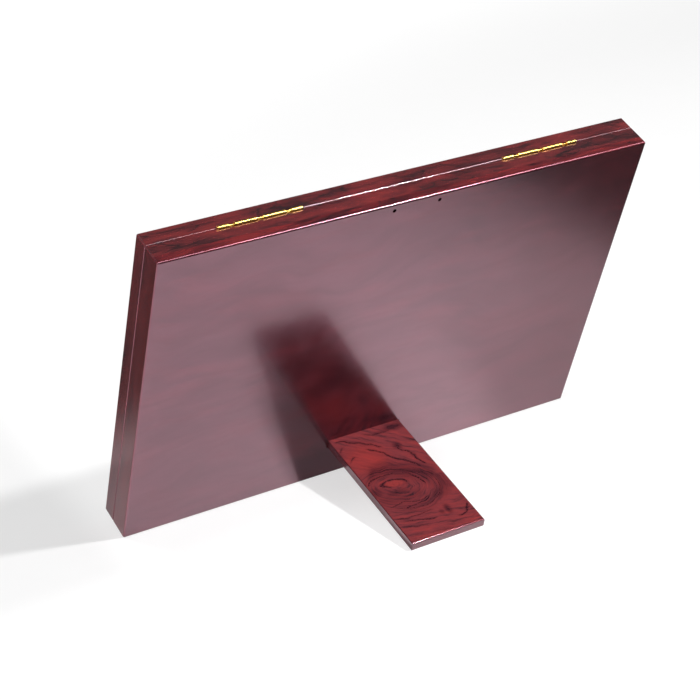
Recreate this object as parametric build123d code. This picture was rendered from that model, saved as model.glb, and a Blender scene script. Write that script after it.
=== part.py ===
from build123d import *
import math
import os

# A display case for small collectables: a shallow tray behind a hinged, glazed lid, on a plug-in leg.
#
# Every length is in millimetres and every angle in degrees. The case is first drawn upright in its own frame:
# X runs across its width, Y from the glazed front (negative) to the rear face (zero), and Z up from its
# bottom edge. Left and right are as seen from the glazed front. The finished case is then leaned back until
# its rear bottom edge and the tip of its leg touch the floor, which is Z = 0.

# Case
case_width = 345.0
case_height = 231.0
corner_bevel = 0.8
seam_gap = 0.25
seam_edge_radius = 0.5

# Tray
board_thickness = 6.0
board_edge_radius = 1.2
tray_rail_width = 10.0
tray_rail_depth = 9.5

# Lid
lid_depth = 11.5
lid_rail_width = 14.0
lid_front_radius = 1.2
sight_edge_bevel = 0.8
lip_overlap = 5.0
lip_thickness = 3.5
glass_thickness = 2.0
glass_edge_clearance = 0.5
bead_clearance = 0.1
bead_edge_radius = 1.2
bead_setback = 0.2

# Thumb notch in the lid's lower edge
notch_width = 24.0
notch_rise = 2.0
notch_depth = 4.5

# Lining and dividers
pad_thickness = 2.0
pad_clearance = 0.2
pad_edge_radius = 0.6
columns = 6
rows = 4
divider_thickness = 2.4
divider_height = 7.3
divider_edge_bevel = 0.7
divider_end_clearance = 0.15
lap_clearance = 0.1

# Block magnets that hold the lid shut
magnet_width = 10.0
magnet_height = 4.0
magnet_thickness = 2.0
magnet_spacing = 150.0
magnet_pocket_clearance = 0.05
magnet_setback = 0.1

# Brass butt hinges with rolled knuckles, whose barrels lie half sunk in a groove along the seam
hinge_inset = 45.5
knuckle_pairs = 3
knuckle_length = 7.25
knuckle_gap = 3.95
knuckle_play = 0.1
pin_radius = 0.65
pin_play = 0.05
pin_rise = 0.2
leaf_thickness = 0.75
leaf_height = 5.8
leaf_clearance = 0.1
barrel_clearance = 0.2
curl_slit = 0.2

# Countersunk hinge screws, whose heads are as deep as the leaf is thick
screws_per_leaf = 2
screw_end_margin = 10.0
screw_head_radius = 1.3
screw_shank_radius = 0.6
screw_length = 6.0
screw_clearance = 0.03

# Plug-in support leg
leg_width = 54.6
leg_thickness = 6.1
leg_exposed_length = 104.0
leg_edge_radius = 0.7
leg_tilt = 4.85
slot_top_height = 33.3
slot_side_clearance = 0.7
slot_play = 0.05
slot_end_gap = 0.2

# Hanging holes in the back board
hanging_hole_radius = 1.25
hanging_hole_spacing = 32.1
hanging_hole_drop = 5.0

# Depths, measured from the rear face
board_front = -board_thickness
tray_front = board_front - tray_rail_depth
lid_rear = tray_front - seam_gap
lid_front = lid_rear - lid_depth
glass_front = lid_front + lip_thickness
glass_rear = glass_front + glass_thickness
pad_front = board_front - pad_thickness
seam_plane = (tray_front + lid_rear) / 2

# Openings inside the frames
tray_inner_width = case_width - 2 * tray_rail_width
tray_inner_height = case_height - 2 * tray_rail_width
sight_width = case_width - 2 * lid_rail_width
sight_height = case_height - 2 * lid_rail_width
rabbet_width = sight_width + 2 * lip_overlap
rabbet_height = sight_height + 2 * lip_overlap
lid_wall = lid_rail_width - lip_overlap

# Hinge, worked out from the sheet and the pin
bore_radius = pin_radius + pin_play
barrel_radius = bore_radius + leaf_thickness
groove_radius = barrel_radius + barrel_clearance
hinge_axis_height = case_height + pin_rise
leaf_top = hinge_axis_height - groove_radius
hinge_length = (
    2 * knuckle_pairs * knuckle_length
    + knuckle_pairs * knuckle_gap
    + (knuckle_pairs - 1) * knuckle_play
)
hinge_starts = {
    "left": -case_width / 2 + hinge_inset,
    "right": case_width / 2 - hinge_inset - hinge_length,
}

# Leg and slot: the leg's top surface bears on the slot's upper edge at the rear face, and the lower corner of
# its inner end on the slot's floor, so the play between them sets the tilt.
tilt = math.radians(leg_tilt)
leg_inserted_length = (board_thickness - slot_end_gap) / math.cos(tilt)
inner_corner_drop = (
    (leg_inserted_length - leg_edge_radius) * math.sin(tilt)
    + (leg_thickness - leg_edge_radius) * math.cos(tilt)
    + leg_edge_radius
)
slot_height = slot_play + inner_corner_drop + slot_play
slot_width = leg_width + 2 * slot_side_clearance
leg_root_height = slot_top_height - slot_play

# How far a cutting shape runs past the surface that it cuts
REACH = 5.0


def board(width, height, front, rear, bevel=0.0):
    """A board centred on the case, from depth front to depth rear, with its four corners bevelled."""
    outline = Rectangle(width, height)
    if bevel > 0:
        outline = chamfer(outline.vertices(), bevel)
    base = Plane(origin=(0, rear, case_height / 2), x_dir=(1, 0, 0), z_dir=(0, -1, 0))
    return extrude(base * outline, amount=rear - front)


def round_rim(solid, face, radius, inner=False):
    """Round the outer or inner rim of the front or rear face."""
    flat = solid.faces().sort_by(Axis.Y)[0 if face == "front" else -1]
    rim = flat.inner_wires()[0] if inner else flat.outer_wire()
    return fillet(rim.edges(), radius)


def block(x, y, z):
    """A box between two limits in each direction."""
    size = Box(x[1] - x[0], y[1] - y[0], z[1] - z[0])
    return Pos((x[0] + x[1]) / 2, (y[0] + y[1]) / 2, (z[0] + z[1]) / 2) * size


def corner(x_side, z_side, offset):
    """A corner of the case's outline, moved outwards by offset in both directions."""
    return (x_side * (case_width / 2 + offset), case_height / 2 + z_side * (case_height / 2 + offset))


FRAME_SIDES = {
    "rail_top": ((-1, 1), (1, 1)),
    "rail_bottom": ((-1, -1), (1, -1)),
    "stile_left": ((-1, -1), (-1, 1)),
    "stile_right": ((1, -1), (1, 1)),
}


def mitre_wedge(ends):
    """The space of one side of a frame, parted from its neighbours at 45 degrees through the corners."""
    first, second = ends
    outline = Polygon(
        corner(*first, REACH),
        corner(*second, REACH),
        corner(*second, -lid_rail_width - REACH),
        corner(*first, -lid_rail_width - REACH),
        align=None,
    )
    base = Plane(origin=(0, 0, 0), x_dir=(1, 0, 0), z_dir=(0, -1, 0))
    return extrude(base * outline, amount=REACH - lid_front, both=True)


def mitred(ring):
    """The four lengths of a frame, cut apart at their mitred corners."""
    return {side: ring & mitre_wedge(ends) for side, ends in FRAME_SIDES.items()}


def screw_shape(grow=0.0):
    """A countersunk screw along +Y with its head at the origin, or its hole when grown by a clearance."""
    head = screw_head_radius + grow
    shank = screw_shank_radius + grow
    tip = screw_length + grow
    outline = Polygon(
        (0, 0),
        (head, 0),
        (shank, leaf_thickness),
        (shank, tip),
        (0, tip),
        align=None,
    )
    return revolve(outline, Axis.Y)


def screw_places(start):
    """Where the screws of one leaf sit along the case's width."""
    span = hinge_length - 2 * screw_end_margin
    step = span / (screws_per_leaf - 1)
    return [start + screw_end_margin + step * number for number in range(screws_per_leaf)]


def leaf_screws(start, side, grow=0.0):
    """The screws of one leaf, or their holes: side -1 is the lid's and +1 the tray's."""
    height = leaf_top - leaf_height / 2
    turn = Rot(Z=180) if side < 0 else Rot()
    face = seam_plane + side * seam_gap / 2
    return [Pos(x, face, height) * turn * screw_shape(grow) for x in screw_places(start)]


def hinge_seat(start, side):
    """The groove for the barrel and the shallow housing for one leaf, with the holes for its screws."""
    face = seam_plane + side * seam_gap / 2
    floor = face + side * leaf_thickness
    first, last = start - leaf_clearance, start + hinge_length + leaf_clearance
    housing = block(
        (first, last),
        (min(face - side * REACH, floor), max(face - side * REACH, floor)),
        (leaf_top - leaf_height - leaf_clearance, hinge_axis_height),
    )
    housing += Pos(first, seam_plane, hinge_axis_height) * extrude(
        Plane.YZ * Circle(groove_radius), amount=last - first
    )
    for hole in leaf_screws(start, side, screw_clearance):
        housing += hole
    return housing


def knuckle_starts():
    """Where each knuckle starts along the barrel: open gap and tight joint by turns."""
    places = [0.0]
    for number in range(2 * knuckle_pairs - 1):
        space = knuckle_gap if number % 2 == 0 else knuckle_play
        places.append(places[-1] + knuckle_length + space)
    return places


def knuckle_profile(side):
    """A rolled knuckle's section: the sheet rises beside the seam, curls round the pin and ends at a slit."""
    near = side * seam_gap / 2
    neck_top = bore_radius + leaf_thickness / 2
    neck_foot = groove_radius + leaf_thickness
    neck_place = Pos(near + side * leaf_thickness / 2, -(neck_top + neck_foot) / 2)
    ring = Circle(barrel_radius) - Circle(bore_radius)
    slit = Pos(near - side * curl_slit / 2, -barrel_radius) * Rectangle(curl_slit, 2 * barrel_radius)
    return ring - slit + neck_place * Rectangle(leaf_thickness, neck_foot - neck_top)


def hinge_leaf(start, side):
    """One leaf with its rolled knuckles: the lid's has the first and every second one after it."""
    near = seam_plane + side * seam_gap / 2
    far = near + side * leaf_thickness
    leaf = block(
        (start, start + hinge_length),
        (min(near, far), max(near, far)),
        (leaf_top - leaf_height, leaf_top),
    )
    first = 0 if side < 0 else 1
    for place in knuckle_starts()[first::2]:
        end = (start + place, seam_plane, hinge_axis_height)
        section = Plane(origin=end, x_dir=(0, 1, 0), z_dir=(1, 0, 0))
        leaf += extrude(section * knuckle_profile(side), amount=knuckle_length)
    for hole in leaf_screws(start, side, screw_clearance):
        leaf -= hole
    return leaf


def hinge_pin(start):
    """The pin, as long as the barrel."""
    pin = extrude(Plane.YZ * Circle(pin_radius), amount=hinge_length)
    return Pos(start, seam_plane, hinge_axis_height) * pin


def hinge_screws(side):
    """All the screws of the lid's or the tray's leaves."""
    return Compound(children=[screw for start in hinge_starts.values() for screw in leaf_screws(start, side)])


def magnets(front, rear, grow=0.0):
    """A pair of block magnets in the bottom rail, or their pockets."""
    half_width = magnet_width / 2 + grow
    half_height = magnet_height / 2 + grow
    middle = lid_wall / 2
    return [
        block((x - half_width, x + half_width), (front, rear), (middle - half_height, middle + half_height))
        for x in (-magnet_spacing / 2, magnet_spacing / 2)
    ]


def lid_pieces():
    """The lid: a mitred frame with a rabbet, its pane, the beads behind the pane and two magnets."""
    ring = board(case_width, case_height, lid_front, lid_rear, corner_bevel)
    ring = round_rim(ring, "front", lid_front_radius)
    ring = round_rim(ring, "rear", seam_edge_radius)
    ring -= board(sight_width, sight_height, lid_front - REACH, lid_rear + REACH)
    front_face = ring.faces().sort_by(Axis.Y)[0]
    ring = chamfer(front_face.inner_wires()[0].edges(), sight_edge_bevel)
    ring -= board(rabbet_width, rabbet_height, glass_front, lid_rear + REACH)
    sides = mitred(ring)
    for start in hinge_starts.values():
        sides["rail_top"] -= hinge_seat(start, -1)
    magnet_rear = lid_rear - magnet_setback
    magnet_front = magnet_rear - magnet_thickness
    for pocket in magnets(magnet_front, lid_rear + REACH, magnet_pocket_clearance):
        sides["rail_bottom"] -= pocket
    notch_radius = (notch_width**2 / 4 + notch_rise**2) / (2 * notch_rise)
    notch_base = Plane(
        origin=(0, lid_rear + REACH, notch_rise - notch_radius), x_dir=(1, 0, 0), z_dir=(0, -1, 0)
    )
    sides["rail_bottom"] -= extrude(notch_base * Circle(notch_radius), amount=notch_depth + REACH)
    pieces = {f"lid_{side}": rail for side, rail in sides.items()}

    pieces["glass_pane"] = board(
        rabbet_width - 2 * glass_edge_clearance,
        rabbet_height - 2 * glass_edge_clearance,
        glass_front,
        glass_rear,
    )
    bead_rear = lid_rear - bead_setback
    bead_width = rabbet_width - 2 * bead_clearance
    bead_height = rabbet_height - 2 * bead_clearance
    beads = board(bead_width, bead_height, glass_rear, bead_rear)
    beads -= board(sight_width, sight_height, glass_rear - REACH, bead_rear + REACH)
    beads = round_rim(beads, "rear", bead_edge_radius, inner=True)
    for side, bead in mitred(beads).items():
        pieces[f"glazing_bead_{side.split('_')[1]}"] = bead
    pieces["lid_magnets"] = Compound(children=magnets(magnet_front, magnet_rear))
    return pieces


def back_board():
    """The back board, with the leg's slot and the hanging holes."""
    back = board(case_width, case_height, board_front, 0, corner_bevel)
    back = round_rim(back, "rear", board_edge_radius)
    back -= block(
        (-slot_width / 2, slot_width / 2),
        (board_front - REACH, REACH),
        (slot_top_height - slot_height, slot_top_height),
    )
    for side in (-1, 1):
        place = Plane(
            origin=(side * hanging_hole_spacing / 2, REACH, case_height - hanging_hole_drop),
            x_dir=(1, 0, 0),
            z_dir=(0, -1, 0),
        )
        back -= extrude(place * Circle(hanging_hole_radius), amount=board_thickness + 2 * REACH)
    return back


def tray_pieces():
    """The tray: its back board, a mitred frame glued to it, the floor pad and two magnets."""
    ring = board(case_width, case_height, tray_front, board_front, corner_bevel)
    ring = round_rim(ring, "front", seam_edge_radius)
    ring -= board(tray_inner_width, tray_inner_height, tray_front - REACH, board_front + REACH)
    sides = mitred(ring)
    for start in hinge_starts.values():
        sides["rail_top"] -= hinge_seat(start, 1)
    magnet_front = tray_front + magnet_setback
    magnet_rear = magnet_front + magnet_thickness
    for pocket in magnets(tray_front - REACH, magnet_rear, magnet_pocket_clearance):
        sides["rail_bottom"] -= pocket
    pieces = {"back_board": back_board()}
    pieces.update({f"tray_{side}": rail for side, rail in sides.items()})

    pad_width = tray_inner_width - 2 * pad_clearance
    pad_height = tray_inner_height - 2 * pad_clearance
    pad = board(pad_width, pad_height, pad_front, board_front)
    pieces["floor_pad"] = round_rim(pad, "front", pad_edge_radius)
    pieces["tray_magnets"] = Compound(children=magnets(magnet_front, magnet_rear))
    return pieces


def divider_places(inner_size, count):
    """Centres of the dividers that part an inner size into equal cells, measured from its middle."""
    cell = (inner_size - (count - 1) * divider_thickness) / count
    step = cell + divider_thickness
    return [step * (number + 1 - count / 2) for number in range(count - 1)]


def divider_strip(length):
    """A strip along X on the floor pad, its free edge bevelled."""
    section = Plane(origin=(-length / 2, pad_front, case_height / 2), x_dir=(0, 0, 1), z_dir=(1, 0, 0))
    outline = Pos(0, divider_height / 2) * Rectangle(divider_thickness, divider_height)
    outline = chamfer(outline.vertices().group_by(Axis.Y)[-1], divider_edge_bevel)
    return extrude(section * outline, amount=length)


def divider_pieces():
    """Upright strips notched from the front and cross strips notched from behind, lapped over each other."""
    columns_at = divider_places(tray_inner_width, columns)
    rows_at = divider_places(tray_inner_height, rows)
    half_lap = divider_height / 2
    half_slot = divider_thickness / 2 + lap_clearance
    middle = pad_front - half_lap
    pieces = {}
    for number, x in enumerate(columns_at, 1):
        strip = divider_strip(tray_inner_height - 2 * divider_end_clearance)
        strip = Pos(x, 0, case_height / 2) * Rot(Y=90) * Pos(0, 0, -case_height / 2) * strip
        for z in rows_at:
            height = case_height / 2 + z
            strip -= block(
                (x - divider_thickness, x + divider_thickness),
                (pad_front - divider_height - REACH, middle + lap_clearance),
                (height - half_slot, height + half_slot),
            )
        pieces[f"divider_upright_{number}"] = strip
    for number, z in enumerate(rows_at, 1):
        strip = Pos(0, 0, z) * divider_strip(tray_inner_width - 2 * divider_end_clearance)
        height = case_height / 2 + z
        for x in columns_at:
            strip -= block(
                (x - half_slot, x + half_slot),
                (middle, pad_front + REACH),
                (height - divider_thickness, height + divider_thickness),
            )
        pieces[f"divider_cross_{number}"] = strip
    return pieces


def hinge_pieces():
    """Both hinges: for each, the lid's leaf, the tray's leaf and the pin that joins them."""
    pieces = {}
    for name, start in hinge_starts.items():
        pieces[f"hinge_{name}_lid_leaf"] = hinge_leaf(start, -1)
        pieces[f"hinge_{name}_tray_leaf"] = hinge_leaf(start, 1)
        pieces[f"hinge_{name}_pin"] = hinge_pin(start)
    pieces["hinge_screws_lid"] = hinge_screws(-1)
    pieces["hinge_screws_tray"] = hinge_screws(1)
    return pieces


def support_leg():
    """The leg, tilted up from the square to the back until its play in the slot is taken up."""
    leg = block(
        (-leg_width / 2, leg_width / 2),
        (-leg_inserted_length, leg_exposed_length),
        (-leg_thickness, 0),
    )
    long_faces = leg.faces().sort_by(Axis.Z)
    leg = fillet(long_faces[0].edges() + long_faces[-1].edges(), leg_edge_radius)
    return Pos(0, 0, leg_root_height) * Rot(X=leg_tilt) * leg


def lean_angle():
    """How far the case leans back, in radians, with its rear bottom edge and the leg's tip on the floor.

    Both edges are rounded, so the floor is the line that touches two circles from below.
    """
    along = leg_exposed_length - leg_edge_radius
    below = leg_thickness - leg_edge_radius
    tip_depth = along * math.cos(tilt) + below * math.sin(tilt)
    tip_height = leg_root_height + along * math.sin(tilt) - below * math.cos(tilt)
    run = tip_depth + board_edge_radius
    rise = tip_height - board_edge_radius
    return math.atan2(rise, run) - math.asin((leg_edge_radius - board_edge_radius) / math.hypot(run, rise))


def standing_depth(depth, height, lean):
    """Where a point of the upright case comes to lie along Y once the case is leaned back."""
    return depth * math.cos(lean) + height * math.sin(lean)


def placement():
    """The move that leans the case back, stands it on the floor and centres its footprint on the origin."""
    lean = lean_angle()
    lowest = board_edge_radius * (math.sin(lean) + math.cos(lean)) - board_edge_radius
    front_centre = standing_depth(lid_front + lid_front_radius, lid_front_radius, lean)
    tip_along = leg_exposed_length - leg_edge_radius
    tip_centre = standing_depth(
        tip_along * math.cos(tilt) + leg_edge_radius * math.sin(tilt),
        leg_root_height + tip_along * math.sin(tilt) - leg_edge_radius * math.cos(tilt),
        lean,
    )
    middle = (front_centre - lid_front_radius + tip_centre + leg_edge_radius) / 2
    return Pos(0, -middle, -lowest) * Rot(X=-math.degrees(lean))


def all_pieces():
    """Every piece under its own name, upright in the case's frame."""
    pieces = {}
    pieces.update(tray_pieces())
    pieces.update(divider_pieces())
    pieces.update(lid_pieces())
    pieces.update(hinge_pieces())
    pieces["support_leg"] = support_leg()
    return pieces


os.makedirs("parts", exist_ok=True)
stand = placement()
for name, piece in all_pieces().items():
    export_step(stand * piece, f"parts/{name}.step")
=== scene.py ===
import bmesh
import bpy
import math
from mathutils import Euler, Matrix, Vector


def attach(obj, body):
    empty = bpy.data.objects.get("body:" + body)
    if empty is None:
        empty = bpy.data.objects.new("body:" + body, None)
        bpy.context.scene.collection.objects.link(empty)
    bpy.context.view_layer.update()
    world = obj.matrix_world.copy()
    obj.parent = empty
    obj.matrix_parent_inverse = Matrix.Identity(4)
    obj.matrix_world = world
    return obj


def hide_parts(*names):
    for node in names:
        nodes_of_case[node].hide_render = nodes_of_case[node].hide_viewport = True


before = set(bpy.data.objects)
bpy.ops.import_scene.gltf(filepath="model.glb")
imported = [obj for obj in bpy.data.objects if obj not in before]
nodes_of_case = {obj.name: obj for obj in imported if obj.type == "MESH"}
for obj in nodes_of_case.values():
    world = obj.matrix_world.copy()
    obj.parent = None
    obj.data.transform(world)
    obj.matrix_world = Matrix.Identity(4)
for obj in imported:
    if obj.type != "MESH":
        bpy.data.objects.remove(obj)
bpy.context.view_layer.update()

# The case leans back on its leg. These give its own upright frame, in which the wood grain is laid out:
# X along the width, Y from the glass to the rear face, Z up from the bottom edge. Lengths are in metres.
MM = 0.001
lean = math.radians(18.9607)
case_origin = Vector((0.0, -0.043035, -0.000325))
case_width = 0.345
case_height = 0.231
leg_tilt = math.radians(4.85)
leg_root_height = 0.03325


# Colours and nodes

HALF = (0.5, 0.5, 0.5)


def grey(level):
    return (level, level, level, 1.0)


def colour(red, green, blue):
    """A colour given as it looks on screen, 0 to 255, in the linear values that shaders take."""
    def linear(level):
        share = level / 255
        return share / 12.92 if share <= 0.04045 else ((share + 0.055) / 1.055) ** 2.4
    return (linear(red), linear(green), linear(blue), 1.0)


class Graph:
    """A node tree, with short calls for the nodes used here. Their inputs are numbers or sockets."""

    def __init__(self, name):
        self.material = bpy.data.materials.new(name)
        self.material.use_nodes = True
        self.start(self.material.node_tree, "ShaderNodeOutputMaterial")

    @classmethod
    def of_world(cls, world):
        graph = cls.__new__(cls)
        graph.start(world.node_tree, "ShaderNodeOutputWorld")
        return graph

    def start(self, tree, output):
        self.tree = tree
        tree.nodes.clear()
        self.output = tree.nodes.new(output)

    def node(self, kind, inputs=None, **settings):
        made = self.tree.nodes.new(kind)
        for key, value in settings.items():
            setattr(made, key, value)
        for key, value in (inputs or {}).items():
            self.feed(made.inputs[key], value)
        return made

    def feed(self, socket, value):
        if isinstance(value, bpy.types.NodeSocket):
            self.tree.links.new(value, socket)
        else:
            socket.default_value = value

    def math(self, operation, first, second=0.0, clamp=False):
        made = self.node("ShaderNodeMath", {0: first, 1: second}, operation=operation, use_clamp=clamp)
        return made.outputs[0]

    def plus(self, first, second):
        return self.math("ADD", first, second)

    def minus(self, first, second):
        return self.math("SUBTRACT", first, second)

    def times(self, first, second):
        return self.math("MULTIPLY", first, second)

    def over(self, first, second):
        return self.math("DIVIDE", first, second)

    def larger(self, first, second):
        return self.math("MAXIMUM", first, second)

    def smaller(self, first, second):
        return self.math("MINIMUM", first, second)

    def apart(self, first, second):
        """How far two numbers lie apart."""
        return self.math("ABSOLUTE", self.minus(first, second))

    def dimmed(self, level, where, share=1.0):
        """A level that falls by a share of itself where the second value is 1."""
        return self.times(level, self.minus(1.0, self.times(where, share)))

    def between(self, value, low, high, out_low=0.0, out_high=1.0, smooth=True):
        """The value's place between two others, drawn out to a range of its own."""
        made = self.node(
            "ShaderNodeMapRange",
            {"Value": value, "From Min": low, "From Max": high, "To Min": out_low, "To Max": out_high},
            interpolation_type="SMOOTHSTEP" if smooth else "LINEAR",
        )
        return made.outputs["Result"]

    def patch(self, *fades):
        """A patch with soft edges. Each fade has a value, where it is 0 and where it is 1."""
        share = 1.0
        for value, start, full in fades:
            share = self.times(share, self.between(value, start, full))
        return share

    def curve(self, value, points):
        """A smooth line through points, both ways from 0 to 1."""
        made = self.node("ShaderNodeFloatCurve", {"Value": value})
        line = made.mapping.curves[0]
        line.points[0].location = points[0]
        line.points[1].location = points[-1]
        for place in points[1:-1]:
            line.points.new(*place)
        made.mapping.update()
        return made.outputs["Value"]

    def vector(self, operation, first, second=(0.0, 0.0, 0.0)):
        made = self.node("ShaderNodeVectorMath", {0: first, 1: second}, operation=operation)
        return made.outputs["Value" if operation in ("LENGTH", "DISTANCE", "DOT_PRODUCT") else "Vector"]

    def scaled(self, vector, factors):
        return self.vector("MULTIPLY", vector, factors)

    def parts(self, vector):
        return self.node("ShaderNodeSeparateXYZ", {0: vector}).outputs

    def together(self, x, y, z):
        return self.node("ShaderNodeCombineXYZ", {0: x, 1: y, 2: z}).outputs[0]

    def noise(self, vector, scale, detail=3.0, roughness=0.5, distortion=0.0, output="Fac"):
        made = self.node(
            "ShaderNodeTexNoise",
            {"Vector": vector, "Scale": scale, "Detail": detail, "Roughness": roughness,
             "Distortion": distortion},
        )
        return made.outputs[output]

    def swing(self, vector, scale, detail):
        """A noise vector that swings round zero."""
        spread = self.noise(vector, scale, detail, output="Color")
        return self.vector("SUBTRACT", spread, HALF)

    def ramp(self, value, stops):
        made = self.node("ShaderNodeValToRGB", {"Fac": value})
        made.color_ramp.interpolation = "LINEAR"
        elements = made.color_ramp.elements
        while len(elements) < len(stops):
            elements.new(0.5)
        for element, (place, tone) in zip(elements, stops):
            element.position = place
            element.color = tone
        return made.outputs["Color"]

    def mix(self, factor, first, second):
        """A colour between two, the first where the factor is 0."""
        made = self.node("ShaderNodeMix", {"Factor": factor}, data_type="RGBA", clamp_factor=True)
        self.feed(made.inputs[6], first)
        self.feed(made.inputs[7], second)
        return made.outputs[2]

    def bump(self, height, strength, distance, normal=None):
        inputs = {"Height": height, "Strength": strength, "Distance": distance}
        if normal is not None:
            inputs["Normal"] = normal
        return self.node("ShaderNodeBump", inputs).outputs["Normal"]

    def here(self):
        """Place in the object's own coordinates, which are those of the row's frame."""
        return self.node("ShaderNodeTexCoord").outputs["Object"]

    def case_place(self):
        """Place on the case in its own upright frame."""
        turn = Matrix.Rotation(lean, 3, "X")
        made = self.node(
            "ShaderNodeMapping",
            {"Vector": self.here(), "Location": turn @ -case_origin, "Rotation": (lean, 0.0, 0.0)},
            vector_type="POINT",
        )
        return made.outputs["Vector"]

    def surface(self, shader):
        self.tree.links.new(shader, self.output.inputs["Surface"])

    def either(self, share, first, second):
        """The first shader where the share is 0, the second where it is 1."""
        return self.node("ShaderNodeMixShader", {0: share, 1: first, 2: second}).outputs[0]

    def principled(self, **inputs):
        made = self.node("ShaderNodeBsdfPrincipled")
        for key, value in inputs.items():
            self.feed(made.inputs[key.replace("_", " ")], value)
        self.surface(made.outputs["BSDF"])
        return made.outputs["BSDF"]


# Lacquered rosewood

VEIN = colour(24, 9, 12)
FRAME_SHADES = (colour(54, 16, 20), colour(94, 27, 30), colour(118, 35, 35))
BACK_SHADES = (colour(12, 7, 10), colour(34, 12, 16), colour(62, 20, 24))
BACK_FLUSH = colour(70, 20, 24)
RED_EDGE_LINE = colour(104, 22, 22)
ROSY_SHEEN = (1.0, 0.42, 0.58, 1.0)
PALE_SHEEN = (1.0, 0.7, 0.8, 1.0)
rail_contrast = 1.3
stile_contrast = 0.7
back_contrast = 1.5

# How much finer the figure of the frames and the beads is than that of the back
fineness = 1.5

# How far apart the figures of two woods are cut, for each step of the seed
seed_step = (0.37, 0.21, 0.13)

# How far the lacquer's roughness strays either way
roughness_swing = 0.02


def lacquer(graph, tone, roughness=0.22, ior=2.2, gloss=0.5, tint=ROSY_SHEEN,
            coat_roughness=0.1, coat_ior=1.28):
    """Clear lacquer with a faint orange peel. The tint of its sheen gives the wood its rosy cast."""
    place = graph.here()
    peel = graph.noise(place, scale=420.0, detail=2.0)
    waves = graph.noise(place, scale=60.0, detail=1.0)
    peeled = graph.bump(peel, strength=0.03, distance=0.4 * MM)
    peeled = graph.bump(waves, strength=0.015, distance=2.0 * MM, normal=peeled)
    graph.principled(
        Base_Color=tone,
        Roughness=graph.between(waves, 0.3, 0.7, roughness - roughness_swing, roughness + roughness_swing),
        IOR=ior,
        Specular_IOR_Level=gloss,
        Specular_Tint=tint,
        Normal=peeled,
        Coat_Weight=1.0,
        Coat_Roughness=coat_roughness,
        Coat_IOR=coat_ior,
        Coat_Normal=peeled,
    )
    return graph.material


def streaks(graph, place, along, across, detail=4.0, shift=None):
    """Noise drawn out along X, from about -1 to 1. The two sizes are those of its streaks."""
    if shift is not None:
        place = graph.vector("ADD", place, shift)
    stretched = graph.scaled(place, (1 / along, 1 / across, 1 / across))
    spread = graph.noise(stretched, 1.0, detail, roughness=0.55, distortion=0.4)
    return graph.between(spread, 0.25, 0.75, -1.0, 1.0, smooth=False)


def grain_place(graph, seed, upright=False):
    """Place on the case with X along the grain, moved so that each wood has a figure of its own."""
    place = graph.case_place()
    if upright:
        side, depth, height = graph.parts(place)
        place = graph.together(height, depth, side)
    return graph.vector("ADD", place, [seed * step for step in seed_step])


def wood_grain(graph, place, shades, contrast):
    """A streaked figure with wandering black veins and pores. The grain runs along X."""
    bend = graph.swing(graph.scaled(place, (1.0, 2.0, 2.0)), scale=14.0, detail=2.0)
    place = graph.vector("ADD", place, graph.scaled(bend, (0.03, 0.02, 0.02)))
    broad = streaks(graph, place, along=0.07, across=0.016)
    narrow = streaks(graph, place, along=0.03, across=0.0035, shift=(3.1, 1.7, 0.9))
    paths = streaks(graph, place, along=0.05, across=0.014, detail=2.0, shift=(1.3, 5.3, 2.7))
    pores = streaks(graph, place, along=0.004, across=0.0005, detail=2.0, shift=(7.3, 2.9, 4.1))

    level = graph.plus(graph.times(broad, 0.3 * contrast), graph.times(narrow, 0.2 * contrast))
    tone = graph.ramp(graph.plus(level, 0.5), list(zip((0.2, 0.5, 0.8), shades)))
    width = graph.between(narrow, -1.0, 1.0, 0.09, 0.02, smooth=False)
    vein = graph.between(graph.math("ABSOLUTE", paths), graph.times(width, 0.3), width, 1.0, 0.0)
    vein = graph.times(vein, graph.between(broad, 0.25, -0.3))
    blot = graph.between(broad, -0.6, -1.0, 0.0, 0.65)
    pore = graph.between(pores, 0.35, 0.9, 0.0, 0.3)
    dark = graph.larger(graph.larger(graph.times(vein, 0.85), blot), pore)
    return graph.mix(graph.math("MULTIPLY", dark, contrast, clamp=True), tone, VEIN)


def frame_wood(name, seed, upright=False, shades=FRAME_SHADES, contrast=1.0, **finish):
    """The wood of a frame's rails, its stiles, or the beads. Its grain runs along the case's X or Z."""
    graph = Graph(name)
    place = graph.scaled(grain_place(graph, seed, upright), (fineness, fineness, fineness))
    return lacquer(graph, wood_grain(graph, place, shades, contrast), **finish)


def board_wood(name):
    """The wood of the back: dark, with a gloss that wanders in wisps, and with thin redder lines round its
    edges.
    """
    graph = Graph(name)
    place = grain_place(graph, seed=1.0)
    tone = wood_grain(graph, place, BACK_SHADES, back_contrast)
    fine_place = graph.scaled(place, (fineness, fineness, fineness))
    top_tone = wood_grain(graph, fine_place, FRAME_SHADES, rail_contrast)
    wander = graph.scaled(graph.noise(place, 9.0, 2.0, output="Color"), (0.0, 0.0, 0.09))
    wisps = streaks(graph, graph.vector("ADD", place, wander), along=0.06, across=0.011)
    gloss = graph.between(wisps, -0.9, 0.9, 0.452, 0.533)
    return lacquer(graph, rim_tones(graph, tone, top_tone), gloss=gloss)


def rim_tones(graph, tone, top_tone):
    """Redder toward one side, with thin bright lines round the edges and a top edge like the rails'."""
    side, _, height = graph.parts(graph.case_place())
    tone = graph.mix(graph.between(side, -0.03, -0.15, 0.0, 0.5), tone, BACK_FLUSH)
    from_side = graph.minus(case_width / 2, graph.math("ABSOLUTE", side))
    from_top = graph.minus(case_height, height)
    from_rim = graph.smaller(graph.smaller(from_side, from_top), height)
    tone = graph.mix(graph.between(from_rim, 0.7 * MM, 0.3 * MM, 0.0, 0.7), tone, RED_EDGE_LINE)
    return graph.mix(graph.between(from_top, 0.6 * MM, 0.3 * MM), tone, top_tone)


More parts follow.
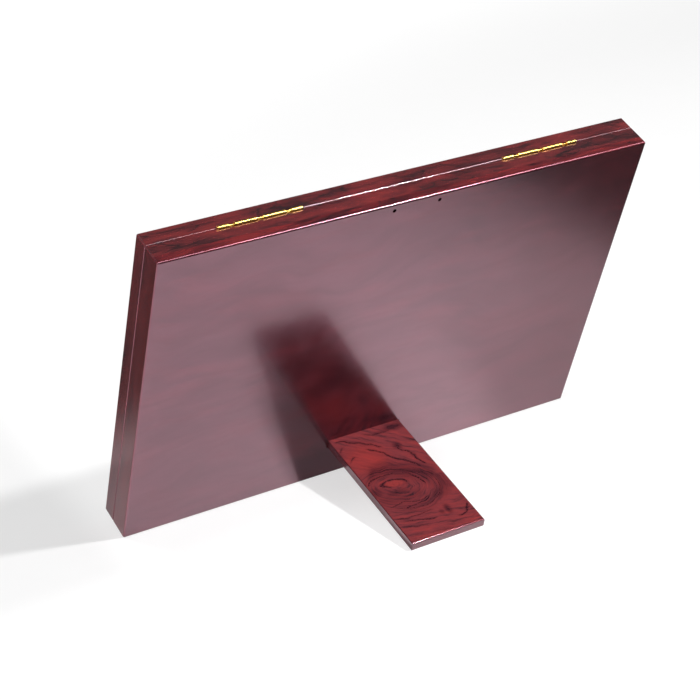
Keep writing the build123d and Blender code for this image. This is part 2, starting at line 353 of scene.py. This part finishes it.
# Figure of the leg's veneer. Places are in millimetres: across the leg from its left edge, as seen from
# behind, and along it from its root. Headings are in degrees, turned from the across direction.

leg_width = 54.6
leg_reach = 104.0
burl_centre = (19.6, 53.3)
burl_reach = {"left": 32.0, "right": 30.5, "root": 17.5, "tip": 27.5}
burl_slant = -0.22
heart_centre = (18.6, 52.4)
heart_reach = (8.6, 3.3)
heart_turn = 14.0
glow_centre = (14.0, 25.0)
root_heading = 42.0
tip_heading = 12.0

# How fast the burl's streaks change outward, and along the two parts of the direction round it
burl_scale = (26.0, 2.6, 2.6)

LEG_VEIN = colour(38, 17, 27)
LEG_EDGE = colour(78, 26, 32)
LEG_GLOW = colour(160, 54, 50)
LEG_HEART = colour(158, 58, 55)
LEG_SHADES = [(0.12, colour(66, 36, 42)), (0.45, colour(122, 53, 57)), (0.95, colour(152, 57, 57))]

# How far noise shakes the lines, and how fast it changes over a millimetre
LEG_SHAKES = [(3.2, 0.11), (0.9, 0.45), (0.6, 1.6)]

# Thin black veins: a heading, a half width, a depth of tone, and the places that the vein passes
LEG_VEINS = [
    (30, 0.6, 0.95, [
        (-1, 6), (3, 3.6), (9, 5), (13.3, 8), (18.3, 10.4), (23.3, 13.3), (26, 16), (31.5, 19.8),
    ]),
    (45, 0.7, 1.0, [
        (17.5, 16), (22, 19.6), (26.7, 23.3), (29, 28), (33, 32.3), (38, 37.5), (41.7, 42.5), (45, 47),
    ]),
    (60, 0.75, 1.0, [
        (37, 22), (40, 26.5), (43.5, 29.6), (45.2, 33.5), (45.2, 37), (46.7, 41.7), (49.5, 46),
    ]),
    (0, 0.65, 0.8, [(22, 3.5), (28, 5.6), (34, 6.6), (40, 6.4), (47, 6.6)]),
    (-10, 0.6, 1.0, [(-1, 50.5), (2, 47.5), (5, 45.4), (10, 43.8), (18, 43.4), (26, 43.8)]),
    (60, 0.7, 1.0, [(26, 43.6), (31, 46.5), (34, 50), (36.2, 54.5), (37, 58.5), (36, 63)]),
    (-45, 0.55, 0.8, [(1.6, 17), (2.2, 12.5), (5.2, 9.6), (8.5, 9.2)]),
    (-20, 0.6, 0.85, [(1.2, 27), (4, 23), (7.5, 20.8), (11, 21.6)]),
    (0, 0.45, 0.85, [(3, 71.2), (10, 70.2), (16, 69.8), (22, 71.6), (28, 71.8), (35, 69)]),
    (0, 0.5, 0.9, [(10.5, 75.6), (17, 75), (23, 74.2), (30, 73.2), (36.5, 70.2)]),
    (8, 0.5, 0.75, [(0, 79.6), (7, 82.2), (15, 83.2), (23, 82.4), (31, 83.5)]),
    (15, 0.5, 0.8, [(4, 84), (12, 86.5), (20, 88.7), (29, 90.4)]),
    (10, 0.45, 0.7, [(3, 88.5), (9, 90.6), (15, 92.2), (20, 95.2)]),
    (-30, 0.65, 0.95, [(33.5, 85), (36, 90.5), (41, 93.6), (47, 93), (51, 88.6), (55, 85)]),
    (0, 0.4, 0.55, [(30, 95.5), (38, 97.5), (46, 98.5), (55, 95)]),
]

# Broad soft bands round the burl, in the same terms
LEG_BANDS = [
    (35, 4.6, 0.7, [
        (4, 40.5), (10, 39), (16, 38.6), (23, 40), (29, 42.6), (36, 47), (43, 51.7), (49, 57),
    ]),
    (105, 3.0, 0.6, [(47, 52), (49.5, 60), (48.5, 65), (45, 69), (40, 73), (33, 76)]),
    (15, 3.0, 0.42, [(-1, 62), (8, 64.5), (17, 66), (26, 66.5), (34, 65)]),
    (-8, 2.2, 0.5, [(24, 47.5), (30, 49), (36, 53), (41, 58), (43, 62)]),
]

# Rings of the burl: a radius, a half width, a depth of tone, the way that the dark part faces, and the
# cosine of the angle within which it is dark
BURL_RINGS = [
    (0.71, 0.04, 0.62, (0.8, 0.6), 0.6),
    (0.79, 0.05, 0.72, (0.72, 0.69), 0.45),
    (0.87, 0.05, 0.78, (0.6, 0.8), 0.5),
    (0.95, 0.05, 0.66, (0.75, 0.66), 0.5),
]

# Dark patches: a depth of tone, a centre, and a reach across and along
LEG_PATCHES = [
    (0.9, (47.0, 4.6), (10.5, 4.2)),
    (0.55, (38.5, 6.0), (9.0, 1.6)),
    (0.8, (39.5, 22.6), (4.2, 4.2)),
    (0.7, (45.0, 33.4), (1.9, 3.2)),
    (0.8, (38.2, 86.0), (3.0, 5.4)),
    (0.55, (33.0, 87.0), (2.6, 3.0)),
    (0.6, (3.0, 55.0), (7.5, 6.5)),
    (0.6, (16.0, 60.5), (11.5, 4.4)),
]


def turned(across, along, heading):
    """A place on the leg, seen along a heading: how far along it and how far off it."""
    angle = math.radians(heading)
    return (
        across * math.cos(angle) + along * math.sin(angle),
        along * math.cos(angle) - across * math.sin(angle),
    )


def turned_nodes(graph, across, along, heading):
    """The same for sockets."""
    angle = math.radians(heading)
    flat = graph.together(across, along, 0.0)
    ahead = graph.vector("DOT_PRODUCT", flat, (math.cos(angle), math.sin(angle), 0.0))
    aside = graph.vector("DOT_PRODUCT", flat, (-math.sin(angle), math.cos(angle), 0.0))
    return ahead, aside


def vein_line(graph, across, along, heading, half_width, depth, points):
    """How dark a line through the points is here: full depth on it, nothing beside it, and faded ends."""
    margin = 2.0
    ahead, aside = turned_nodes(graph, across, along, heading)
    spots = [turned(*point, heading) for point in points]
    first, last = spots[0][0], spots[-1][0]
    low = min(spot[1] for spot in spots) - margin
    high = max(spot[1] for spot in spots) + margin
    route = [((far - first) / (last - first), (off - low) / (high - low)) for far, off in spots]
    centre = graph.curve(graph.between(ahead, first, last, smooth=False), route)
    centre = graph.between(centre, 0.0, 1.0, low, high, smooth=False)
    line = graph.between(graph.apart(aside, centre), 0.0, half_width * 2.6, depth, 0.0, smooth=False)
    ends = graph.patch((ahead, first - 0.5, first + 4), (ahead, last + 0.5, last - 4))
    return graph.times(line, ends)


def oval(graph, across, along, centre, reach, heading=0.0):
    """How far out a place lies from an oval's centre, 1 on its outline."""
    right = graph.minus(across, centre[0])
    down = graph.minus(along, centre[1])
    ahead, aside = turned_nodes(graph, right, down, heading)
    shape = graph.together(graph.over(ahead, reach[0]), graph.over(aside, reach[1]), 0.0)
    return graph.vector("LENGTH", shape)


def lopsided(graph, distance, after, before):
    """A distance in terms of the reach on its own side of the centre."""
    ahead = graph.over(graph.larger(distance, 0.0), after)
    behind = graph.over(graph.smaller(distance, 0.0), before)
    return graph.plus(ahead, behind)


def burl_place(graph, across, along):
    """How far out a place lies in the burl, 1 at its outer ring, and its direction from the centre."""
    right = graph.minus(across, burl_centre[0])
    right = lopsided(graph, right, burl_reach["right"], burl_reach["left"])
    down = graph.minus(along, burl_centre[1])
    down = lopsided(graph, down, burl_reach["tip"], burl_reach["root"])
    offset = graph.together(right, graph.plus(down, graph.times(right, burl_slant)), 0.0)
    return graph.vector("LENGTH", offset), graph.vector("NORMALIZE", offset)


def ring_line(graph, ring, direction, radius, half_width, depth, facing, spread):
    """A thin ring of the burl, dark only where it faces one way."""
    line = graph.between(graph.apart(ring, radius), 0.0, half_width, depth, 0.0, smooth=False)
    toward = graph.vector("DOT_PRODUCT", direction, (*facing, 0.0))
    return graph.times(line, graph.between(toward, spread - 0.35, spread + 0.1))


def leg_place(graph):
    """A place across and along the leg, in millimetres."""
    side, depth, height = graph.parts(graph.case_place())
    across = graph.minus(leg_width / 2, graph.times(side, 1 / MM))
    down = graph.times(graph.minus(height, leg_root_height), math.sin(leg_tilt) / MM)
    along = graph.plus(graph.times(depth, math.cos(leg_tilt) / MM), down)
    return across, along


def leg_wood(name):
    """The leg's own figure: rings round a burl, with black veins that flow past it."""
    graph = Graph(name)
    across, along = leg_place(graph)
    from_rim = graph.smaller(across, graph.minus(leg_width, across))
    from_rim = graph.smaller(from_rim, graph.minus(leg_reach, along))
    flat = graph.together(across, along, 0.0)
    for reach, pace in LEG_SHAKES:
        shake = graph.swing(graph.scaled(flat, (pace, pace, pace)), scale=1.0, detail=1.0)
        flat = graph.vector("ADD", flat, graph.scaled(shake, (reach, reach, 0.0)))
    across, along, _ = graph.parts(flat)

    # The streaks flow one way at the root, another at the tip, and in rings inside the burl
    ahead, aside = turned_nodes(graph, across, along, root_heading)
    root_flow = streaks(graph, graph.together(ahead, aside, 0.0), along=22.0, across=2.6)
    ahead, aside = turned_nodes(graph, across, along, tip_heading)
    tip_flow = streaks(graph, graph.together(ahead, aside, 9.0), along=20.0, across=1.9)
    ring, direction = burl_place(graph, across, along)
    heading_x, heading_y, _ = graph.parts(direction)
    polar = graph.scaled(graph.together(ring, heading_x, heading_y), burl_scale)
    ring_flow = streaks(graph, polar, along=1.5, across=2.6)
    fine_rings = streaks(graph, polar, along=0.7, across=2.0, shift=(40.0, 3.0, 5.0))
    to_tip = graph.between(along, 62.0, 78.0)
    outer = graph.plus(graph.dimmed(root_flow, to_tip), graph.times(tip_flow, to_tip))
    outside = graph.between(ring, 0.88, 1.12)
    inside = graph.minus(1.0, outside)
    flow = graph.plus(graph.times(outer, outside), graph.times(ring_flow, inside))

    tone = graph.ramp(graph.plus(graph.times(flow, 0.5), 0.5), LEG_SHADES)
    from_glow = graph.vector("DISTANCE", flat, (*glow_centre, 0.0))
    tone = graph.mix(graph.between(from_glow, 22.0, 6.0, 0.0, 0.5), tone, LEG_GLOW)
    heart = oval(graph, across, along, heart_centre, heart_reach, heart_turn)
    tone = graph.mix(graph.between(heart, 1.05, 0.6, 0.0, 0.7), tone, LEG_HEART)

    # Fine rings, bands and patches darken the wood softly
    shade = graph.times(graph.between(fine_rings, 0.2, -0.9, 0.0, 0.34), inside)
    broken = graph.between(fine_rings, -0.8, 0.8, 1.3, 0.6)
    for band in LEG_BANDS:
        shade = graph.larger(shade, graph.times(vein_line(graph, across, along, *band), broken))
    for depth, centre, reach in LEG_PATCHES:
        patch = graph.between(oval(graph, across, along, centre, reach), 1.3, 0.1, 0.0, depth)
        shade = graph.larger(shade, graph.times(patch, 0.95))

    # Thin lines run round the heart, along the burl's rings and along the veins
    lines = graph.between(graph.apart(heart, 1.0), 0.0, 0.42, 1.0, 0.0, smooth=False)
    lines = graph.times(lines, graph.between(along, 57.5, 52.0, 0.35, 1.0))
    for ring_terms in BURL_RINGS:
        lines = graph.larger(lines, ring_line(graph, ring, direction, *ring_terms))
    for vein in LEG_VEINS:
        lines = graph.larger(lines, vein_line(graph, across, along, *vein))

    # Each line has a black core, broken like beads, and a soft halo
    beads = graph.between(graph.noise(flat, 1.1, 2.0), 0.36, 0.56, 0.45, 0.97)
    core = graph.times(graph.between(lines, 0.5, 0.78), beads)
    halo = graph.between(lines, 0.0, 0.8, 0.0, 0.42)
    pores = streaks(graph, graph.together(ahead, aside, 4.0), along=2.5, across=0.35, detail=2.0)
    dark = graph.larger(graph.larger(shade, halo), core)
    dark = graph.larger(dark, graph.between(pores, 0.3, 0.9, 0.0, 0.25))
    tone = graph.mix(dark, tone, LEG_VEIN)
    tone = graph.mix(graph.between(from_rim, 0.5, 0.15), tone, LEG_EDGE)
    return lacquer(graph, tone, roughness=0.14, ior=1.75, coat_roughness=0.08)


# Brass, glass, velour and magnets


def brass(name):
    graph = Graph(name)
    place = graph.here()
    drawn = graph.noise(graph.scaled(place, (0.15, 1.0, 1.0)), scale=900.0)
    cloud = graph.noise(place, scale=120.0)
    graph.principled(
        Base_Color=graph.mix(cloud, colour(226, 186, 106), colour(200, 157, 76)),
        Metallic=1.0,
        Roughness=graph.between(cloud, 0.3, 0.7, 0.25, 0.33),
        Normal=graph.bump(drawn, strength=0.05, distance=0.1 * MM),
    )
    return graph.material


def glass(name):
    """Clear glass. To shadow rays it is a faint tint, so that the lamps light what lies behind it."""
    graph = Graph(name)
    smudge = graph.noise(graph.here(), scale=14.0)
    pane = graph.principled(
        Base_Color=(0.965, 0.985, 0.975, 1.0),
        Roughness=graph.between(smudge, 0.5, 0.8, 0.0, 0.03),
        IOR=1.5,
        Transmission_Weight=1.0,
    )
    faint = graph.node("ShaderNodeBsdfTransparent", {"Color": (0.9, 0.92, 0.91, 1.0)}).outputs[0]
    shadow = graph.node("ShaderNodeLightPath").outputs["Is Shadow Ray"]
    graph.surface(graph.either(shadow, pane, faint))
    return graph.material


def velour(name):
    """Short pile, with broad lighter and darker places where the nap lies another way."""
    graph = Graph(name)
    place = graph.case_place()
    pile = graph.noise(place, scale=2600.0, detail=2.0, roughness=0.7)
    tuft = graph.noise(place, scale=1500.0, detail=2.0, roughness=0.6)
    nap = graph.noise(graph.scaled(place, (1.0, 1.0, 1.6)), scale=26.0, roughness=0.55, distortion=0.8)
    tone = graph.mix(graph.between(nap, 0.35, 0.65), colour(106, 18, 38), colour(138, 30, 54))
    # Painted shade: the low places of the pile, which the bump also sinks, are coloured darker
    tone = graph.mix(graph.between(pile, 0.35, 0.65, 0.22, 0.0), tone, colour(60, 8, 20))
    height = graph.plus(graph.times(pile, 0.7), graph.times(tuft, 0.3))
    graph.principled(
        Base_Color=tone,
        Roughness=0.9,
        IOR=1.3,
        Normal=graph.bump(height, strength=0.18, distance=0.2 * MM),
        Sheen_Weight=0.55,
        Sheen_Roughness=0.35,
        Sheen_Tint=(0.85, 0.35, 0.42, 1.0),
    )
    return graph.material


def nickel(name):
    graph = Graph(name)
    brushed = graph.noise(graph.scaled(graph.here(), (0.1, 1.0, 1.0)), scale=1500.0, detail=2.0)
    graph.principled(
        Base_Color=graph.mix(brushed, (0.52, 0.52, 0.54, 1.0), (0.66, 0.66, 0.67, 1.0)),
        Metallic=1.0,
        Roughness=graph.between(brushed, 0.3, 0.7, 0.18, 0.3),
        Normal=graph.bump(brushed, strength=0.08, distance=0.1 * MM),
    )
    return graph.material


def dress(name, material):
    """Give a CAD piece its material."""
    mesh = nodes_of_case[name].data
    mesh.materials.clear()
    mesh.materials.append(material)


wood_back = board_wood("rosewood_back")
wood_rail = frame_wood(
    "rosewood_rail", seed=2.0, contrast=rail_contrast, tint=PALE_SHEEN, coat_roughness=0.04, coat_ior=1.45
)
wood_stile = frame_wood("rosewood_stile", seed=4.0, upright=True, contrast=stile_contrast)
wood_bead = frame_wood("rosewood_bead", seed=6.0, shades=BACK_SHADES)
wood_leg = leg_wood("rosewood_leg")
brass_polished = brass("polished_brass")
glass_clear = glass("clear_glass")
velour_wine = velour("wine_velour")
nickel_plate = nickel("nickel_plate")

dress("back_board", wood_back)
dress("support_leg", wood_leg)
dress("glass_pane", glass_clear)
for name in nodes_of_case:
    if "_rail_" in name:
        dress(name, wood_rail)
    elif "_stile_" in name:
        dress(name, wood_stile)
    elif name.startswith("glazing_bead"):
        dress(name, wood_bead)
    elif name.startswith("hinge_"):
        dress(name, brass_polished)
    elif name.endswith("magnets"):
        dress(name, nickel_plate)


# Velour pad and dividers

weld_distance = 0.01 * MM
flat_angle = math.radians(1)
sharp_angle = math.radians(20)
strip_edge = 0.35 * MM
pad_edge = 0.5 * MM
edge_segments = 3


def piece_from(name, new_name, edge_radius):
    """A soft copy of a CAD solid with every edge rounded, which stands for it."""
    made = bmesh.new()
    made.from_mesh(nodes_of_case[name].data)
    bmesh.ops.remove_doubles(made, verts=made.verts, dist=weld_distance)
    bmesh.ops.dissolve_limit(made, angle_limit=flat_angle, verts=made.verts, edges=made.edges)
    sharp = [edge for edge in made.edges if edge.calc_face_angle(0.0) > sharp_angle]
    bmesh.ops.bevel(
        made, geom=sharp, offset=edge_radius, segments=edge_segments, profile=0.5, affect="EDGES",
        clamp_overlap=True,
    )
    mesh = bpy.data.meshes.new(new_name)
    made.to_mesh(mesh)
    made.free()
    for face in mesh.polygons:
        face.use_smooth = True
    mesh.materials.append(velour_wine)
    piece = bpy.data.objects.new(new_name, mesh)
    bpy.context.scene.collection.objects.link(piece)
    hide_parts(name)
    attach(piece, "tray")
    return piece


for name in sorted(nodes_of_case):
    if name.startswith("divider_"):
        strip = piece_from(name, name.replace("divider", "velour_strip"), strip_edge)
piece_from("floor_pad", "velour_pad", pad_edge)


# Floor, light and camera. X, Y and Z are the row's, in metres.

lamp_target = (0.0, 0.0, 0.1)
key_place = (-0.733, 0.69, 1.343)
fill_place = (1.08, 0.61, 1.12)
front_place = (0.8, -1.1, 1.6)
floor_size = 4.0

# The photograph's camera: its place, its turn in degrees, and its lens and film in millimetres
camera_place = (0.5856, 0.91655, 0.65423)
camera_turn = (63.1762, 0.6044, 148.4504)
focal_length = 99.24
film_width = 36.0

# How much of what the camera sees of the floor is the even backdrop and not the lit sheet
backdrop_share = 0.55

# The middle of the painted pool of light that the lacquer mirrors, and a place past the leg's tip, round
# which the backdrop is painted lighter, as painted light in the leg's shadow
painted_pool_centre = (-0.08, 0.0, 0.0)
past_tip = (0.03, 0.08, 0.0)

# The sheet as the lacquer mirrors it: its brightness from its dark edge to its lit side, partly the sheet's
# own edge and partly painted light, and where those two lie along a slanted line
SHEET_LEVELS = [
    (0.0, 0.03), (0.09, 0.08), (0.15, 0.23), (0.22, 0.48), (0.28, 0.64), (0.35, 0.78), (0.45, 0.9),
    (0.6, 1.0), (1.0, 1.0),
]
sheet_slant = -0.8
sheet_dark_edge = -0.42
sheet_lit_edge = 0.12
darkest = 0.03
sheet_white = grey(1.22)

# The strip of light in the studio that the top edges mirror: where it lies, and the direction across it
strip_heading = (0.0, 0.43, 0.9)
strip_across = (0.0, 0.9, -0.43)
studio_level = 0.1
strip_level = 13.0


def seen_and_mirrored(graph):
    """Whether a ray comes from the camera, also through the pane, and whether it was mirrored."""
    path = graph.node("ShaderNodeLightPath").outputs
    before_matt = graph.math("LESS_THAN", path["Diffuse Depth"], 0.5)
    through = graph.times(path["Is Transmission Ray"], before_matt)
    seen = graph.larger(path["Is Camera Ray"], through)
    mirrored = graph.dimmed(path["Is Glossy Ray"], path["Is Transmission Ray"])
    return seen, mirrored


def mirrored_floor(graph, place):
    """The sheet as the lacquer mirrors it, with light and shade painted on: bright behind the case and
    beside it, dim past its edges.
    """
    side, back, _ = graph.parts(place)
    slant = graph.plus(side, graph.times(back, sheet_slant))
    level = graph.curve(graph.between(slant, sheet_dark_edge, sheet_lit_edge, smooth=False), SHEET_LEVELS)
    # Painted shade: the sheet darkens toward the front, where the case shades the floor by its foot
    level = graph.times(level, graph.between(back, -0.3, 0.0))
    # Painted shadows: beside the case, where its shadow falls, the sheet gets a dim ramp of its own, and it
    # is also dimmed by the case's foot at its -X end and beside the leg
    beside = graph.patch((side, 0.15, 0.18), (back, -0.03, -0.06))
    painted_foot_shadow = graph.patch((side, -0.09, -0.14), (back, 0.08, -0.02))
    painted_leg_shadow = graph.patch((side, -0.03, 0.0), (side, 0.056, 0.038), (back, 0.05, 0.0))
    for where, share in ((beside, 1.0), (painted_foot_shadow, 0.33), (painted_leg_shadow, 0.5)):
        level = graph.dimmed(level, where, share)
    level = graph.plus(level, graph.times(graph.between(back, -0.23, -0.07, 0.04, 0.52), beside))
    level = graph.larger(level, darkest)
    sheet = graph.node("ShaderNodeBsdfDiffuse", {"Color": graph.mix(level, grey(0.0), sheet_white)})
    # Painted light: a glowing pool on the sheet behind the case, which the lacquer mirrors
    pool = graph.between(graph.vector("DISTANCE", place, painted_pool_centre), 0.17, 0.02, 0.02, 0.22)
    glow = graph.node("ShaderNodeEmission", {"Color": grey(1.0), "Strength": pool})
    return graph.node("ShaderNodeAddShader", {0: sheet.outputs[0], 1: glow.outputs[0]}).outputs[0]


def floor_material():
    """A white sheet. The camera sees white all round, with painted light in the leg's shadow and painted
    shadow beside the case, while the lacquer mirrors the lit part alone.
    """
    graph = Graph("white_floor")
    place = graph.here()
    side, back, _ = graph.parts(place)
    far_from_key = graph.vector("DISTANCE", place, (*key_place[:2], 0.0))
    backdrop = graph.between(far_from_key, 1.3, 2.1, 1.08, 1.85)
    # Painted light: the backdrop is lifted round a place past the leg's tip, which lightens the leg's
    # shadow
    painted_light_near_tip = graph.patch((graph.vector("DISTANCE", place, past_tip), 0.2, 0.08), (back, -0.03, 0.04))
    # Painted shadow: the backdrop is lowered beside the case, which deepens the case's shadow there
    beside = graph.patch((back, 0.02, -0.02), (side, 0.16, 0.2), (side, 0.6, 0.45))
    backdrop = graph.minus(graph.plus(backdrop, graph.times(painted_light_near_tip, 0.24)), graph.times(beside, 0.2))
    paper = graph.mix(graph.noise(place, 40.0, 2.0), grey(0.86), grey(0.88))
    sheet = graph.node("ShaderNodeBsdfDiffuse", {"Color": paper}).outputs[0]
    white = graph.node("ShaderNodeEmission", {"Color": grey(1.0), "Strength": backdrop}).outputs[0]
    seen, mirrored = seen_and_mirrored(graph)
    plain = graph.either(graph.times(seen, backdrop_share), sheet, white)
    graph.surface(graph.either(mirrored, plain, mirrored_floor(graph, place)))
    return graph.material


def add_floor():
    made = bmesh.new()
    bmesh.ops.create_grid(made, x_segments=1, y_segments=1, size=floor_size)
    mesh = bpy.data.meshes.new("floor")
    made.to_mesh(mesh)
    made.free()
    mesh.materials.append(floor_material())
    floor = bpy.data.objects.new("floor", mesh)
    bpy.context.scene.collection.objects.link(floor)


def add_lamp(name, place, size, power):
    """A square soft box that faces the case."""
    data = bpy.data.lights.new(name, "AREA")
    data.shape = "SQUARE"
    data.size = size
    data.energy = power
    lamp = bpy.data.objects.new(name, data)
    lamp.location = place
    lamp.rotation_euler = (Vector(place) - Vector(lamp_target)).to_track_quat("Z", "Y").to_euler()
    bpy.context.scene.collection.objects.link(lamp)


def set_world():
    """White to the camera, soft grey light on all else, and a dim studio with a bright strip in mirrors."""
    world = bpy.data.worlds.new("studio")
    bpy.context.scene.world = world
    world.use_nodes = True
    graph = Graph.of_world(world)
    heading = graph.node("ShaderNodeTexCoord").outputs["Generated"]
    off_strip = graph.math("ABSOLUTE", graph.vector("DOT_PRODUCT", heading, strip_across))
    toward_strip = graph.vector("DOT_PRODUCT", heading, strip_heading)
    strip = graph.patch((off_strip, 0.085, 0.02), (toward_strip, 0.52, 0.72))
    in_mirrors = graph.between(strip, 0.0, 1.0, studio_level, strip_level, smooth=False)
    seen, mirrored = seen_and_mirrored(graph)
    strength = graph.mix(mirrored, grey(0.25), in_mirrors)
    strength = graph.mix(seen, strength, grey(1.0))
    light = graph.node("ShaderNodeBackground", {"Color": grey(1.0), "Strength": strength})
    graph.surface(light.outputs[0])


def add_camera():
    """The photograph's viewpoint, fitted to the corners of the case and of its leg."""
    data = bpy.data.cameras.new("camera")
    data.sensor_width = film_width
    data.lens = focal_length
    camera = bpy.data.objects.new("camera", data)
    camera.location = camera_place
    camera.rotation_euler = Euler([math.radians(angle) for angle in camera_turn], "XYZ")
    bpy.context.scene.collection.objects.link(camera)
    bpy.context.scene.camera = camera


add_floor()
add_lamp("key", key_place, size=0.1, power=24.0)
add_lamp("fill", fill_place, size=0.5, power=6.0)
add_lamp("front", front_place, size=0.7, power=12.0)
set_world()
add_camera()
bpy.context.scene.view_settings.view_transform = "Standard"
